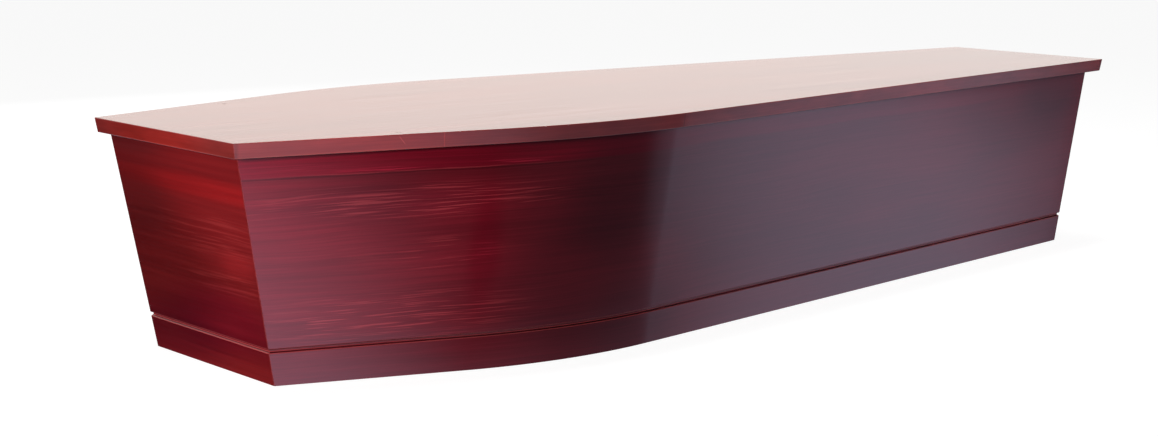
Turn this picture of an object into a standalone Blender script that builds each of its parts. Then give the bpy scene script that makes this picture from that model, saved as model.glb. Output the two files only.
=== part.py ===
"""A wooden coffin with a flat lid: six boards, hollow and empty inside.

Metres, +Z up. The origin is on the floor, under the middle of the lid. The head end is at -X, the foot end at
+X. The walls lean outwards as they rise, and the long walls bend at the shoulders over a length of curve. A
V-groove runs round all four walls, low down. The lid overhangs the walls and rests on their rim.
"""

import bmesh
import bpy
from dataclasses import dataclass
from math import atan2, cos, hypot, pi, sin, tan

# The lid, seen from above. Its shoulder is where the lines of its two straight edges would meet.
LID_LENGTH = 2.000
LID_HEAD_WIDTH = 0.408
LID_SHOULDER_WIDTH = 0.712
LID_FOOT_WIDTH = 0.374
SHOULDER_FROM_HEAD = 0.559
LID_BEND_RADIUS = 0.950
LID_THICKNESS = 0.023
LID_EDGE_LEAN = 0.0035
LID_ARRIS = 0.0008

# How far the lid's lower edge stands out over the walls.
OVERHANG_SIDE = 0.0185
OVERHANG_HEAD = 0.0130
OVERHANG_FOOT = 0.0250

# The walls. Their thickness is measured level across the rim.
WALL_HEIGHT = 0.3407
SIDE_THICKNESS = 0.018
END_THICKNESS = 0.018
BASE_THICKNESS = 0.018

# How far the walls' lower outline stands in from the upper one: along the coffin, then across it.
HEAD_LEAN = 0.061
FOOT_LEAN = 0.0415
SHOULDER_SHIFT = 0.053
HEAD_CORNER_IN = 0.015
SHOULDER_IN = 0.005
FOOT_CORNER_IN = 0.0285
BASE_BEND_RADIUS = 0.700

# The V-groove: its upper lip's height, and its upper and lower faces' heights and depth.
GROOVE_TOP = 0.0565
GROOVE_UPPER_FACE = 0.0020
GROOVE_LOWER_FACE = 0.0050
GROOVE_DEPTH = 0.0035

# Two blind pilot holes in the lid, one near each long edge.
PILOT_RADIUS = 0.00125
PILOT_DEPTH = 0.012
PILOT_FROM_HEAD = 0.248
PILOT_FROM_EDGE_RIGHT = 0.021
PILOT_FROM_EDGE_LEFT = 0.033
PILOT_SIDES = 12

# Clear gap left between pieces that touch.
FIT_GAP = 0.0003

# Fineness of the faceted shapes.
STRAIGHT_STEPS = 8
BEND_STEPS = 20
PANEL_ROWS = 5

NAME = "wooden_coffin"


@dataclass(frozen=True)
class Finish:
    """A lacquered wood: its colour in linear light and its roughness."""

    name: str
    colour: tuple
    roughness: float


LID_LACQUER = Finish("lid_lacquer", (0.40, 0.17, 0.13), 0.16)
SIDE_LACQUER = Finish("side_lacquer", (0.13, 0.022, 0.030), 0.18)
END_LACQUER = Finish("end_lacquer", (0.19, 0.014, 0.016), 0.20)
BASE_STAIN = Finish("base_stain", (0.16, 0.060, 0.040), 0.55)


@dataclass(frozen=True)
class Outline:
    """One long edge of the coffin in plan: two straight lines joined by a curve, from the head to the foot.

    The head and foot are corners. The shoulder is where the two lines would meet without the curve. Each is
    (x, distance from the centre line).
    """

    head: tuple
    shoulder: tuple
    foot: tuple
    radius: float

    def turn(self):
        """The direction of each straight line, as an angle from +X."""
        (hx, hy), (sx, sy), (fx, fy) = self.head, self.shoulder, self.foot
        return atan2(sy - hy, sx - hx), atan2(fy - sy, fx - sx)

    def inset(self, side, head_end, foot_end):
        """The outline moved inwards: its two lines by side, its ends by head_end and foot_end."""
        rise, fall = self.turn()
        head_x = self.head[0] + head_end
        foot_x = self.foot[0] - foot_end
        head_y = self.head[1] + head_end * tan(rise) - side / cos(rise)
        foot_y = self.foot[1] - foot_end * tan(fall) - side / cos(fall)
        shoulder_x = (foot_y - head_y + head_x * tan(rise) - foot_x * tan(fall)) / (tan(rise) - tan(fall))
        shoulder_y = head_y + (shoulder_x - head_x) * tan(rise)
        return Outline((head_x, head_y), (shoulder_x, shoulder_y), (foot_x, foot_y), self.radius - side)

    def points(self):
        """Plan points from the head to the foot, the same number for every outline."""
        rise, fall = self.turn()
        reach = self.radius * tan((rise - fall) / 2)
        start = (self.shoulder[0] - reach * cos(rise), self.shoulder[1] - reach * sin(rise))
        end = (self.shoulder[0] + reach * cos(fall), self.shoulder[1] + reach * sin(fall))
        centre = (start[0] + self.radius * sin(rise), start[1] - self.radius * cos(rise))
        points = [blend(self.head, start, i / STRAIGHT_STEPS) for i in range(STRAIGHT_STEPS)]
        for i in range(BEND_STEPS + 1):
            angle = pi / 2 + rise + (fall - rise) * i / BEND_STEPS
            points.append((centre[0] + self.radius * cos(angle), centre[1] + self.radius * sin(angle)))
        points += [blend(end, self.foot, i / STRAIGHT_STEPS) for i in range(1, STRAIGHT_STEPS + 1)]
        return points


def blend(a, b, share):
    """The point this share of the way from a to b."""
    return tuple(p + (q - p) * share for p, q in zip(a, b))


def lid_outline():
    """The lid's upper edge."""
    return Outline(
        (-LID_LENGTH / 2, LID_HEAD_WIDTH / 2),
        (-LID_LENGTH / 2 + SHOULDER_FROM_HEAD, LID_SHOULDER_WIDTH / 2),
        (LID_LENGTH / 2, LID_FOOT_WIDTH / 2),
        LID_BEND_RADIUS,
    )


def rim_outline():
    """The outer face of the walls at the rim, under the lid's overhang."""
    return lid_outline().inset(
        LID_EDGE_LEAN + OVERHANG_SIDE, LID_EDGE_LEAN + OVERHANG_HEAD, LID_EDGE_LEAN + OVERHANG_FOOT
    )


def floor_outline():
    """The outer face of the walls at the floor."""
    rim = rim_outline()
    return Outline(
        (rim.head[0] + HEAD_LEAN, rim.head[1] - HEAD_CORNER_IN),
        (rim.shoulder[0] - SHOULDER_SHIFT, rim.shoulder[1] - SHOULDER_IN),
        (rim.foot[0] - FOOT_LEAN, rim.foot[1] - FOOT_CORNER_IN),
        BASE_BEND_RADIUS,
    )


def inner(outline):
    """The inner face of the walls on the level of this outer outline."""
    return outline.inset(SIDE_THICKNESS, END_THICKNESS, END_THICKNESS)


def wall_levels():
    """(height, depth below the face) of each row of a wall's outer face, from the floor to the rim."""
    groove_bottom = GROOVE_TOP - GROOVE_UPPER_FACE - GROOVE_LOWER_FACE
    rows = [(0.0, 0.0), (groove_bottom, 0.0), (GROOVE_TOP - GROOVE_UPPER_FACE, GROOVE_DEPTH), (GROOVE_TOP, 0.0)]
    panel = WALL_HEIGHT - GROOVE_TOP
    rows += [(GROOVE_TOP + panel * i / PANEL_ROWS, 0.0) for i in range(1, PANEL_ROWS + 1)]
    return rows


def wall_section(floor_out, floor_in, rim_out, rim_in, thickness):
    """The closed cross-section of a wall at one station: up its outer face, then down its inner face."""
    outer_face, inner_face = [], []
    for height, depth in wall_levels():
        share = height / WALL_HEIGHT
        out = blend(floor_out, rim_out, share)
        back = blend(floor_in, rim_in, share)
        outer_face.append((*blend(out, back, depth / thickness), height))
        inner_face.append((*back, height))
    return outer_face + inner_face[::-1]


def new_object(name, mesh, finish):
    """An object for this bmesh, with its own Principled material and its faces outwards."""
    bmesh.ops.recalc_face_normals(mesh, faces=mesh.faces)
    data = bpy.data.meshes.new(name)
    mesh.to_mesh(data)
    mesh.free()
    data.materials.append(lacquer(name, finish))
    data.shade_smooth()
    data.set_sharp_from_angle(angle=pi / 9)
    return bpy.data.objects.new(name, data)


def lacquer(name, finish):
    """A Principled BSDF material of this finish for the named piece."""
    material = bpy.data.materials.new(f"{name}_{finish.name}")
    material.use_nodes = True
    shader = material.node_tree.nodes["Principled BSDF"]
    shader.inputs["Base Color"].default_value = (*finish.colour, 1.0)
    shader.inputs["Roughness"].default_value = finish.roughness
    shader.inputs["Metallic"].default_value = 0.0
    material.diffuse_color = (*finish.colour, 1.0)
    return material


def loft(name, sections, finish):
    """A closed wall through these cross-sections. Its two ends are filled row by row, so that they meet a
    neighbour's end in the same small faces."""
    mesh = bmesh.new()
    rings = [[mesh.verts.new(point) for point in section] for section in sections]
    count = len(rings[0])
    for ring, following in zip(rings, rings[1:]):
        for i in range(count):
            j = (i + 1) % count
            mesh.faces.new((ring[i], ring[j], following[j], following[i]))
    for ring in (rings[0], rings[-1]):
        for i in range(count // 2 - 1):
            mesh.faces.new((ring[i], ring[i + 1], ring[count - 2 - i], ring[count - 1 - i]))
    return new_object(name, mesh, finish)


def slab(name, lower, upper, low, high, finish):
    """A flat board between two level plan outlines, each a ring of points."""
    mesh = bmesh.new()
    below = [mesh.verts.new((*point, low)) for point in lower]
    above = [mesh.verts.new((*point, high)) for point in upper]
    mesh.faces.new(below)
    mesh.faces.new(above)
    for i in range(len(below)):
        j = (i + 1) % len(below)
        mesh.faces.new((below[i], below[j], above[j], above[i]))
    return new_object(name, mesh, finish)


def whole_ring(outline):
    """Both long edges as one ring of points."""
    points = outline.points()
    return points + [(x, -y) for x, y in reversed(points)]


def side_board(name, side):
    """A long wall. side is +1 on the left, as one lies in the coffin, and -1 on the right."""
    floor, rim = floor_outline(), rim_outline()
    stations = zip(floor.points(), inner(floor).points(), rim.points(), inner(rim).points())
    sections = [wall_section(*station, SIDE_THICKNESS) for station in stations]
    sections = [[(x, side * y, z) for x, y, z in section] for section in sections]
    return loft(name, sections, SIDE_LACQUER)


def end_board(name, corner):
    """An end wall between the mitres of the long walls. corner is "head" or "foot"."""
    station = []
    for outline in (floor_outline(), rim_outline()):
        outer, within = getattr(outline, corner), getattr(inner(outline), corner)
        gap = mitre_gap(outer, within)
        station += [(x, y - gap) for x, y in (outer, within)]
    left = wall_section(*station, END_THICKNESS)
    right = [(x, -y, z) for x, y, z in left]
    return loft(name, [left, right], END_LACQUER)


def mitre_gap(outer, within):
    """How far an end wall's corner moves across the coffin to leave the fit gap square to its mitre."""
    along, across = within[0] - outer[0], within[1] - outer[1]
    return FIT_GAP * hypot(along, across) / abs(along)


def base_board(name):
    """The floor board, inside the walls and following their lean."""
    share = BASE_THICKNESS / WALL_HEIGHT
    floor, rim = inner(floor_outline()), inner(rim_outline())
    lower = inner_ring_at(floor, rim, 0.0)
    upper = inner_ring_at(floor, rim, share)
    return slab(name, lower, upper, 0.0, BASE_THICKNESS, BASE_STAIN)


def inner_ring_at(floor, rim, share):
    """The ring inside the walls at this share of their height, drawn in by the fit gap all round."""
    floor, rim = (level.inset(FIT_GAP, FIT_GAP, FIT_GAP) for level in (floor, rim))
    ring = zip(whole_ring(floor), whole_ring(rim))
    return [blend(low, high, share) for low, high in ring]


def lid_board(name, cutters):
    """The lid: a flat board with an edge that leans in as it goes down, eased arrises and two pilot holes."""
    top = lid_outline()
    under = top.inset(LID_EDGE_LEAN, LID_EDGE_LEAN, LID_EDGE_LEAN)
    low = WALL_HEIGHT + FIT_GAP
    high = low + LID_THICKNESS
    lid = slab(name, whole_ring(under), whole_ring(top), low, high, LID_LACQUER)
    ease = lid.modifiers.new("arris", "BEVEL")
    ease.width = LID_ARRIS
    ease.segments = 1
    ease.limit_method = "ANGLE"
    ease.angle_limit = pi / 4
    for side, from_edge in ((1, PILOT_FROM_EDGE_LEFT), (-1, PILOT_FROM_EDGE_RIGHT)):
        rise = top.turn()[0]
        across = top.head[1] + PILOT_FROM_HEAD * tan(rise) - from_edge / cos(rise)
        place = (top.head[0] + PILOT_FROM_HEAD, side * across, high)
        bore = lid.modifiers.new("pilot_hole", "BOOLEAN")
        bore.operation = "DIFFERENCE"
        bore.solver = "EXACT"
        bore.object = pilot_cutter(place, cutters)
    return lid


def pilot_cutter(place, cutters):
    """A hidden cylinder that reaches the pilot depth below this place and as far above it."""
    mesh = bmesh.new()
    bmesh.ops.create_cone(
        mesh, cap_ends=True, segments=PILOT_SIDES, radius1=PILOT_RADIUS, radius2=PILOT_RADIUS, depth=2 * PILOT_DEPTH
    )
    data = bpy.data.meshes.new("pilot_cutter")
    mesh.to_mesh(data)
    mesh.free()
    cutter = bpy.data.objects.new("pilot_cutter", data)
    cutter.location = place
    cutter.hide_render = True
    cutter.display_type = "WIRE"
    cutters.objects.link(cutter)
    return cutter


def new_collection(name):
    """An empty collection in the scene."""
    collection = bpy.data.collections.new(name)
    bpy.context.scene.collection.children.link(collection)
    return collection


def main():
    for leftover in list(bpy.data.objects):
        bpy.data.objects.remove(leftover, do_unlink=True)
    pieces = new_collection(NAME)
    cutters = new_collection(f"{NAME}_cutters")
    for piece in (
        base_board("base_board"),
        side_board("side_board_left", 1),
        side_board("side_board_right", -1),
        end_board("head_board", "head"),
        end_board("foot_board", "foot"),
        lid_board("lid_board", cutters),
    ):
        pieces.objects.link(piece)


main()
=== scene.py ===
"""The looks of a wooden coffin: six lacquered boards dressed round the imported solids, in a plain studio.

Metres, +Z up. The head end is at -X and the foot end at +X. Each board is a solid between four rails: the two
edges of its face and the two edges of its back. The rails of the long walls and of the lid bend at the shoulders.
One Geometry Nodes tree sweeps a board's rows of points along its rails, and marks where the grain runs.
"""

import logging
from collections.abc import Iterable
from dataclasses import dataclass, field
from enum import Enum
from functools import reduce
from math import atan2, cos, hypot, radians, sin, tan

import bmesh
import bpy
from mathutils import Matrix, Vector


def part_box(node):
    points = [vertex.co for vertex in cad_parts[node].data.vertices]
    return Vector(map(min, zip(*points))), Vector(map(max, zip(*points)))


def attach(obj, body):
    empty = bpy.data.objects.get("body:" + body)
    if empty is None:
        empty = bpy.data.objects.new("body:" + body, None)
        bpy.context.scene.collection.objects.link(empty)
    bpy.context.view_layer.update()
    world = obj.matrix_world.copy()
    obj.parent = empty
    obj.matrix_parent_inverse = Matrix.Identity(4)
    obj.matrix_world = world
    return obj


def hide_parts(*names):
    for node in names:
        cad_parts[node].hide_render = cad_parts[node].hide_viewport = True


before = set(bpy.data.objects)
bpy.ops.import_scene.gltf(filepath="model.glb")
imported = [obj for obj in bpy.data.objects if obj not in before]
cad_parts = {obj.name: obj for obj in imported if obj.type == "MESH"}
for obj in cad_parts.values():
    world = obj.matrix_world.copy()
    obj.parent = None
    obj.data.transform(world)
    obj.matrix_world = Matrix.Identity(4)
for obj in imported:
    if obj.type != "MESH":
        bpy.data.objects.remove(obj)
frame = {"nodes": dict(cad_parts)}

GRAIN = "grain"
ARRIS_ANGLE = radians(25)
SHARP_ANGLE = radians(50)

log = logging.getLogger("coffin")

Point = tuple[float, float, float]
Plan = tuple[float, float]
Colour = tuple[float, float, float]
Socket = bpy.types.NodeSocket
Piece = bpy.types.Object
Finish = bpy.types.Material


class Side(Enum):
    """A long side, as one lies in the coffin, and the sign of its Y."""

    LEFT = 1
    RIGHT = -1


class End(Enum):
    """An end of the coffin, named as the outline's corner there."""

    HEAD = "head"
    FOOT = "foot"


class GrainFrame(Enum):
    """What a wood's pattern follows: the marks swept along a board, the place in the coffin, or the lid's edge."""

    SWEPT = "swept"
    PLACE = "place"
    EDGE = "edge"


class Sketch:
    """Adds nodes to one tree and links them as it goes."""

    def __init__(self, tree: bpy.types.NodeTree) -> None:
        """Starts on this tree."""
        self.tree = tree

    def node(self, kind: str, inputs: dict | None = None, **settings: object) -> bpy.types.Node:
        """A new node with its settings and inputs.

        Args:
            kind: the node's type name.
            inputs: what goes into each socket, by name or number: another socket or a plain value.
            **settings: the node's own properties.

        Returns:
            The node.
        """
        made = self.tree.nodes.new(kind)
        for name, value in settings.items():
            setattr(made, name, value)
        for key, value in (inputs or {}).items():
            self.feed(made.inputs[key], value)
        return made

    def feed(self, socket: Socket, value: object) -> None:
        """Links a socket into this one, or sets its plain value.

        Args:
            socket: the input that is fed.
            value: an output socket, or a value of the input's own kind.
        """
        if isinstance(value, Socket):
            self.tree.links.new(value, socket)
        else:
            socket.default_value = value

    def math(self, operation: str, *values: object, clamp: bool = False) -> Socket:
        """The result of one Math node, from its inputs in order."""
        return self.node("ShaderNodeMath", dict(enumerate(values)), operation=operation, use_clamp=clamp).outputs[0]

    def product(self, *values: object) -> Socket:
        """The product of two or more numbers."""
        return reduce(lambda so_far, value: self.math("MULTIPLY", so_far, value), values)

    def vector(self, operation: str, *values: object) -> Socket:
        """The result of one Vector Math node, from its inputs in order."""
        return self.node("ShaderNodeVectorMath", dict(enumerate(values)), operation=operation).outputs[0]

    def part(self, vector: Socket, axis: str) -> Socket:
        """The X, Y or Z of a vector."""
        return self.node("ShaderNodeSeparateXYZ", {0: vector}).outputs[axis]

    def joined(self, **parts: object) -> Socket:
        """A vector with the given X, Y and Z, each 0 where it isn't given."""
        return self.node("ShaderNodeCombineXYZ", parts).outputs[0]

    def colour(self, value: Colour) -> Socket:
        """A fixed colour as a socket."""
        return self.node("ShaderNodeCombineColor", dict(enumerate(value))).outputs[0]

    def dot(self, vector: Socket, way: Point) -> Socket:
        """The dot product of a vector and a fixed one."""
        return self.node("ShaderNodeVectorMath", {0: vector, 1: way}, operation="DOT_PRODUCT").outputs["Value"]

    def scaled(self, vector: Socket, size: object) -> Socket:
        """A vector or colour times a number."""
        return self.node("ShaderNodeVectorMath", {0: vector, "Scale": size}, operation="SCALE").outputs[0]

    def tinted(self, colour: Socket, share: Socket, tone: Colour) -> Socket:
        """A colour multiplied by a tone where the share is 1, and left as it is where the share is 0."""
        return self.lerp("RGBA", share, colour, self.vector("MULTIPLY", colour, tone))

    def lerp(self, kind: str, share: object, first: object, second: object) -> Socket:
        """The result of one Mix node.

        Args:
            kind: FLOAT, VECTOR or RGBA.
            share: how much of the second there is.
            first: the value at share 0.
            second: the value at share 1.

        Returns:
            The result's socket.
        """
        at = {"FLOAT": (2, 3, 0), "VECTOR": (4, 5, 1), "RGBA": (6, 7, 2)}[kind]
        values = {0: share, at[0]: first, at[1]: second}
        return self.node("ShaderNodeMix", values, data_type=kind, clamp_factor=True).outputs[at[2]]

    def ramp(self, value: Socket, low: object, high: object, out: Plan = (0.0, 1.0)) -> Socket:
        """A value carried from one range to another with soft ends. The range may run downwards."""
        ends = {"Value": value, "From Min": low, "From Max": high, "To Min": out[0], "To Max": out[1]}
        return self.node("ShaderNodeMapRange", ends, interpolation_type="SMOOTHSTEP").outputs[0]


@dataclass(frozen=True)
class Outline:
    """One long edge of the coffin in plan: two straight lines joined by a curve, from the head to the foot.

    The shoulder is where the two lines would meet without the curve. Each point is (x, distance from the
    centre line).
    """

    head: Plan
    shoulder: Plan
    foot: Plan
    radius: float

    def inset(self, side: float, head_end: float, foot_end: float) -> "Outline":
        """The outline moved inwards.

        Args:
            side: how far its two lines move.
            head_end: how far its head end moves.
            foot_end: how far its foot end moves.

        Returns:
            The new outline.
        """
        rise = atan2(self.shoulder[1] - self.head[1], self.shoulder[0] - self.head[0])
        fall = atan2(self.foot[1] - self.shoulder[1], self.foot[0] - self.shoulder[0])
        head_x, foot_x = self.head[0] + head_end, self.foot[0] - foot_end
        head_y = self.head[1] + head_end * tan(rise) - side / cos(rise)
        foot_y = self.foot[1] - foot_end * tan(fall) - side / cos(fall)
        shoulder_x = (foot_y - head_y + head_x * tan(rise) - foot_x * tan(fall)) / (tan(rise) - tan(fall))
        shoulder_y = head_y + (shoulder_x - head_x) * tan(rise)
        return Outline((head_x, head_y), (shoulder_x, shoulder_y), (foot_x, foot_y), self.radius - side)


@dataclass(frozen=True)
class Rail:
    """A path that one corner of a board's section follows: straight, or bent once with a radius."""

    start: Point
    turn: Point
    end: Point
    radius: float = 0.0

    @classmethod
    def along(cls, outline: Outline, side: int, height: float) -> "Rail":
        """The rail that follows an outline at one height.

        Args:
            outline: the outline in plan.
            side: +1 for the left long side and -1 for the right one.
            height: its height above the floor.

        Returns:
            The rail, from the head to the foot.
        """
        corners = [(x, side * y, height) for x, y in (outline.head, outline.shoulder, outline.foot)]
        return cls(*corners, outline.radius)

    @classmethod
    def straight(cls, start: Point, end: Point) -> "Rail":
        """A rail with no bend."""
        middle = tuple((p + q) / 2 for p, q in zip(start, end))
        return cls(start, middle, end)


@dataclass(frozen=True)
class Steps:
    """How finely a board is swept: stations in each straight run and in the bend."""

    straight: int
    bend: int = 0


@dataclass(frozen=True)
class Patch:
    """A soft oval place on a board: metres along it and up it, how far it reaches, and what it does to the colour."""

    along: float
    height: float
    reach: Plan
    tone: Colour = (1.0, 1.0, 1.0)


@dataclass(frozen=True)
class Scratch:
    """A fine scratch on the right side of the lid's edge, from one (metres along, height) to another."""

    start: Plan
    end: Plan
    width: float = 0.0009


@dataclass(frozen=True)
class StainedWood:
    """A stained wood under its lacquer: the colours in linear light, the figure's sizes and the gloss.

    Sizes are repeats in a metre: first along the grain, then across it.
    """

    body: Colour
    dark: Colour
    streak: Colour
    frame: GrainFrame = GrainFrame.SWEPT
    seed: float = 0.0
    waviness: float = 0.010
    band_repeats: Plan = (1.2, 90.0)
    streak_repeats: Plan = (6.0, 270.0)
    streak_share: float = 0.5
    streak_patches: tuple[Patch, ...] = ()
    cloud_repeats: Plan = (1.6, 6.5)
    cloud_depth: float = 0.20
    patches: tuple[Patch, ...] = ()
    dull_patches: tuple[Patch, ...] = ()
    stripe_height: float = 0.0
    groove: Plan = (0.0, 0.0)
    rubbed_below: float = 0.0
    roughness: float = 0.42
    gloss_level: float = 0.5
    coat: float = 1.0
    coat_roughness: float = 0.10
    coat_grain: float = 0.0
    calmed: float = 0.0
    relief: float = 0.00004
    end_tone: float = 1.0
    joints: tuple[tuple[float, float], ...] = ()
    scratches: tuple[Scratch, ...] = ()

    def material(self, name: str) -> bpy.types.Material:
        """The finish as a material with its own nodes.

        Args:
            name: the material's name.

        Returns:
            The material.
        """
        made = bpy.data.materials.new(name)
        made.use_nodes = True
        made.diffuse_color = (*self.body, 1.0)
        WoodSketch(made.node_tree, self).dress(made.node_tree.nodes["Principled BSDF"])
        return made


class WoodSketch(Sketch):
    """Draws one stained wood, with its marks and its lacquer, in the nodes of its material."""

    # A noise is its repeats in a metre, where all woods share them, then its detail and its roughness
    wave_noise = ((2.2, 7.0), 2.0, 0.5)
    fibre_noise = ((5.0, 360.0), 4.0, 0.75)
    clump_noise = ((1.3, 15.0), 1.0, 0.5)
    coat_noise = ((1.6, 110.0), 4.0, 0.6)
    streak_noise = (2.0, 0.45)
    band_noise = (4.0, 0.65)
    cloud_noise = (2.0, 0.5)
    seed_steps = (1.0, 1.7, 0.6)
    # A run is where a soft step starts and ends
    calm_run = (0.5, 0.9)
    rough_run = (0.3, 0.7)
    fibre_run = (0.25, 0.75)
    band_run = (0.32, 0.68)
    cloud_run = (0.30, 0.70)
    coat_run = (0.35, 0.65)
    clump_run = (0.42, 0.72)
    streak_run = (0.51, 0.66)
    patch_rim = (1.0, 0.3)
    sparse_streaks = (0.03, 0.25)
    fibre_tone = (0.90, 1.10)
    # The painted shade inside the groove, and how soft it is at the lower and the upper lip
    groove_tone = (0.36, 0.30, 0.40)
    groove_lips = (0.001, 0.0006)
    # The painted highlight along the lid's lower edge: its tone and how soft its edge is
    rubbed_tone = (1.25, 1.8, 1.7)
    rubbed_edge = 0.001
    # The painted reflection edge along the top of the side wall: its tone, its soft lower edge and its fade towards
    # the foot
    stripe_tone = (1.26, 0.42, 0.95)
    stripe_edge = 0.004
    stripe_fade = (1.9, 1.3, (0.1, 1.0))
    stripe_line_tone = (0.62, 0.55, 0.6)
    stripe_line_drop = 0.001
    stripe_line_edge = (0.0018, 0.0005)
    stripe_line_fade = (0.8, 0.3)
    scratch_tone = (1.5, 2.2, 2.2)
    scratch_tip = 0.003
    scratch_core = 0.3
    joint_edge = (0.0012, 0.0004)
    lid_ends = (0.990, 0.995)
    roughness_swing = 0.07
    coat_index = 1.5
    dulled_coat = 0.1
    streak_dip = 0.3
    bump_strength = 0.6

    def __init__(self, tree: bpy.types.NodeTree, wood: StainedWood) -> None:
        """Starts on a material's tree, with what the whole figure is drawn from.

        Args:
            tree: the material's tree.
            wood: the finish.
        """
        super().__init__(tree)
        self.wood = wood
        self.here = self.node("ShaderNodeTexCoord").outputs["Object"]
        self.swept = self.node("ShaderNodeAttribute", attribute_name=GRAIN).outputs["Vector"]
        self.place = self.in_grain()
        self.across = self.wander()
        self.fibres = self.noise(self.across, *self.fibre_noise)
        self.streaks = self.pale_streaks()

    def dress(self, shader: bpy.types.Node) -> None:
        """Feeds the finish into the material's shader.

        Args:
            shader: the shader's node.
        """
        wood, swing = self.wood, self.roughness_swing
        inputs = {
            "Base Color": self.marked(self.stain()),
            "Roughness": self.ramp(self.fibres, *self.rough_run, (wood.roughness - swing, wood.roughness + swing)),
            "Normal": self.bump(),
            "Specular IOR Level": wood.gloss_level,
            "Coat Weight": wood.coat,
            "Coat Roughness": wood.coat_roughness,
            "Coat IOR": self.coat_index,
        }
        if wood.coat_grain or wood.dull_patches:
            inputs["Coat Weight"] = self.uneven_coat()
        for name, value in inputs.items():
            self.feed(shader.inputs[name], value)

    def in_grain(self) -> Socket:
        """The point in the wood: metres along the grain, across it, and into the board.

        Returns:
            The point's socket.
        """
        if self.wood.frame is GrainFrame.PLACE:
            return self.here
        if self.wood.frame is GrainFrame.SWEPT:
            return self.swept
        return self.vector("ADD", self.swept, self.joined(X=self.part(self.here, "Y")))

    def wander(self) -> Socket:
        """The point moved across the grain by slow waves, so that the grain isn't ruled straight.

        Returns:
            The moved point's socket.
        """
        wave = self.noise(self.place, *self.wave_noise)
        shift = self.math("MULTIPLY", self.math("SUBTRACT", wave, 0.5), 2 * self.wood.waviness)
        return self.vector("ADD", self.place, self.joined(Y=shift))

    def noise(self, place: Socket, repeats: Plan, detail: float, roughness: float) -> Socket:
        """Noise drawn out along the grain, about 0.5 on average.

        Args:
            place: the point in the wood.
            repeats: repeats in a metre along and across the grain.
            detail: the noise's detail.
            roughness: the noise's roughness.

        Returns:
            The noise's value.
        """
        along, across = repeats
        sized = self.vector("MULTIPLY", place, (along, across, across))
        seeded = self.vector("ADD", sized, tuple(self.wood.seed * step for step in self.seed_steps))
        inputs = {"Vector": seeded, "Scale": 1.0, "Detail": detail, "Roughness": roughness}
        return self.node("ShaderNodeTexNoise", inputs, noise_dimensions="3D").outputs[0]

    def within(self, patch: Patch) -> Socket:
        """How far inside a patch the point is, from 0 at its rim to 1 near its middle.

        Args:
            patch: the patch.

        Returns:
            The share's socket.
        """
        off = self.vector("SUBTRACT", self.place, (patch.along, patch.height, 0.0))
        sized = self.vector("MULTIPLY", off, (1.0 / patch.reach[0], 1.0 / patch.reach[1], 0.0))
        far = self.node("ShaderNodeVectorMath", {0: sized}, operation="LENGTH").outputs["Value"]
        return self.ramp(far, *self.patch_rim)

    def calm(self, head: float, foot: float) -> Socket:
        """A number that changes from the head part of the board to its calmer foot part."""
        return self.ramp(self.part(self.across, "X"), *self.calm_run, (head, foot))

    def pale_streaks(self) -> Socket:
        """Fine pale streaks: thick in the finish's own patches, and here and there elsewhere.

        Returns:
            How much streak there is, from 0 to 1.
        """
        thick = self.ramp(self.noise(self.across, *self.clump_noise), *self.clump_run, self.sparse_streaks)
        for patch in self.wood.streak_patches:
            thick = self.math("MAXIMUM", thick, self.within(patch))
        fine = self.ramp(self.noise(self.across, self.wood.streak_repeats, *self.streak_noise), *self.streak_run)
        return self.math("MULTIPLY", self.product(fine, thick), self.calm(1.0, 1.0 - self.wood.calmed), clamp=True)

    def stain(self) -> Socket:
        """The stain's colour: bands of the dark one, clouds where it took more, and pale streaks.

        Returns:
            The colour's socket.
        """
        wood = self.wood
        bands = self.ramp(self.noise(self.across, wood.band_repeats, *self.band_noise), *self.band_run)
        share = self.lerp("FLOAT", self.calm(0.0, wood.calmed), bands, 0.5)
        banded = self.lerp("RGBA", share, (*wood.dark, 1.0), (*wood.body, 1.0))
        cloud = self.noise(self.across, wood.cloud_repeats, *self.cloud_noise)
        taken = self.ramp(cloud, *self.cloud_run, (1.0 - wood.cloud_depth, 1.0 + wood.cloud_depth))
        fibre = self.ramp(self.fibres, *self.fibre_run, self.fibre_tone)
        toned = self.scaled(banded, self.product(taken, fibre))
        return self.lerp("RGBA", self.product(self.streaks, wood.streak_share), toned, (*wood.streak, 1.0))

    def marked(self, colour: Socket) -> Socket:
        """The colour with what only this board has: its patches, some of them painted shade, a painted reflection
        edge along its top, painted shade in its groove, a painted highlight along its lower edge, its ends, joints
        and scratches.

        Args:
            colour: the colour so far.

        Returns:
            The colour's socket.
        """
        wood, up = self.wood, self.part(self.swept, "Y")
        for patch in wood.patches:
            colour = self.tinted(colour, self.within(patch), patch.tone)
        # Painted reflection: above this height the board is painted purer red, where the pale floor's reflection ends
        if wood.stripe_height:
            colour = self.striped(colour)
        # Painted shade: the inside of the groove is darkened, standing in for the shade that falls in the recess
        if wood.groove[1]:
            low, high = wood.groove
            lower, upper = self.groove_lips
            inside = self.product(self.ramp(up, low, low + lower), self.ramp(up, high, high - upper))
            colour = self.tinted(colour, inside, self.groove_tone)
        # Painted highlight: a pale line on the face just above the lower edge, where the rounded edge would catch the
        # light
        if wood.rubbed_below:
            rubbed = self.ramp(up, wood.rubbed_below, wood.rubbed_below - self.rubbed_edge)
            colour = self.tinted(colour, rubbed, self.rubbed_tone)
        if wood.end_tone != 1.0:
            out = self.ramp(self.math("ABSOLUTE", self.part(self.here, "X")), *self.lid_ends)
            colour = self.tinted(colour, out, (wood.end_tone,) * 3)
        for where, shade in wood.joints:
            away = self.math("ABSOLUTE", self.math("SUBTRACT", self.part(self.swept, "X"), where))
            colour = self.tinted(colour, self.on_right(self.ramp(away, *self.joint_edge)), (shade,) * 3)
        for scratch in wood.scratches:
            colour = self.scratched(colour, scratch)
        return colour

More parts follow.
